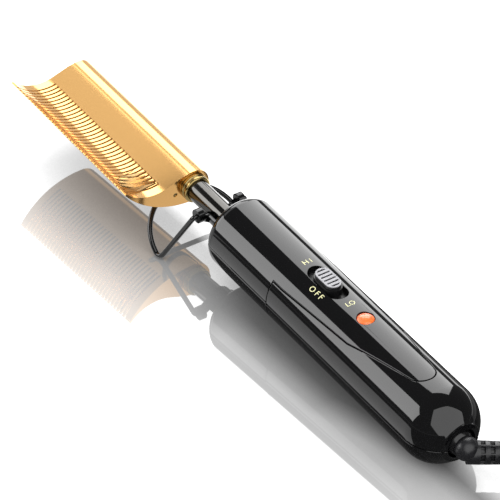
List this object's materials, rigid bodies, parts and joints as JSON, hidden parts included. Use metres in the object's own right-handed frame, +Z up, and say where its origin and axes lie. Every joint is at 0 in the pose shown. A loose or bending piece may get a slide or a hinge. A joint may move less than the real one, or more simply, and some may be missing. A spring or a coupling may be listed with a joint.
{
  "type": "hot comb",
  "caption": "Electric hot comb with a toothed metal head, a round handle with slide switch and power lamp, a folding wire stand and a swivel cord.",
  "frame": {"origin": "middle of the comb and handle's bounding box, on the surface they stand on", "axes": "+X along the handle towards the comb head, +Y towards the tips of the teeth, +Z up"},
  "size_m": [0.4172, 0.0985, 0.0427],
  "materials": {
    "comb_metal": "satin gold-tone anodised",
    "heater_steel": "drawn",
    "ceramic": "matt",
    "bronze": "polished dark bronze",
    "tube_chrome": "polished",
    "steel": "pressed",
    "wire_jacket": "satin",
    "stand_black": "gloss black",
    "handle_black": "high gloss moulded",
    "screw_steel": "machined",
    "board_green": "solder mask",
    "component": "moulded",
    "switch_black": "moulded",
    "knob_grey": "moulded gloss",
    "lens_orange": "translucent moulded",
    "contact_brass": "stamped",
    "swivel_black": "moulded satin",
    "cord_black": "extruded satin",
    "plug_black": "moulded matt"
  },
  "bodies": {
    "body": {"comb_head": "comb_metal", "comb_screw": "bronze", "heater_rod": "heater_steel", "thermal_fuse": "ceramic", "ferrule": "bronze", "barrel_tube": "tube_chrome", "barrel_flange": "steel", "heat_washer": "ceramic", "heater_wires": "wire_jacket", "stand_bracket": "stand_black", "front_upper_shell": "handle_black", "front_lower_shell": "handle_black", "rear_upper_shell": "handle_black", "rear_lower_shell": "handle_black", "housing_screws": "screw_steel", "circuit_board": "board_green", "board_components": "component", "slide_switch": "switch_black", "indicator_lens": "lens_orange", "indicator_lamp": "lens_orange", "mains_wires": "wire_jacket", "brush_block": "switch_black", "brush_contacts": "contact_brass"},
    "stand": {"wire_stand": "stand_black"},
    "switch": {"switch_knob": "knob_grey", "slot_shutter": "switch_black", "switch_lever": "wire_jacket"},
    "cord_swivel": {"swivel_spindle": "switch_black", "slip_rings": "contact_brass", "swivel_ball": "swivel_black", "cord_boot": "swivel_black", "cord_lead": "cord_black", "cord_coil": "cord_black", "plug_lead": "cord_black", "plug_boot": "plug_black", "plug_body": "plug_black", "plug_blades": "contact_brass"}
  },
  "joints": [
    {"name": "stand_fold", "type": "hinge", "parent": "body", "child": "stand", "pos_m": [0.02956, -0.00585, 0.02781], "axis": [0, 1, 0], "range_deg": [0, 110]},
    {"name": "switch_slide", "type": "slide", "parent": "body", "child": "switch", "axis": [0.9987, 0, 0.0501], "range_m": [-0.0036, 0.0036]},
    {"name": "cord_turn", "type": "hinge", "parent": "body", "child": "cord_swivel", "pos_m": [-0.14582, -0.00585, 0.017], "axis": [0.9987, 0, 0.0501], "continuous": true}
  ]
}
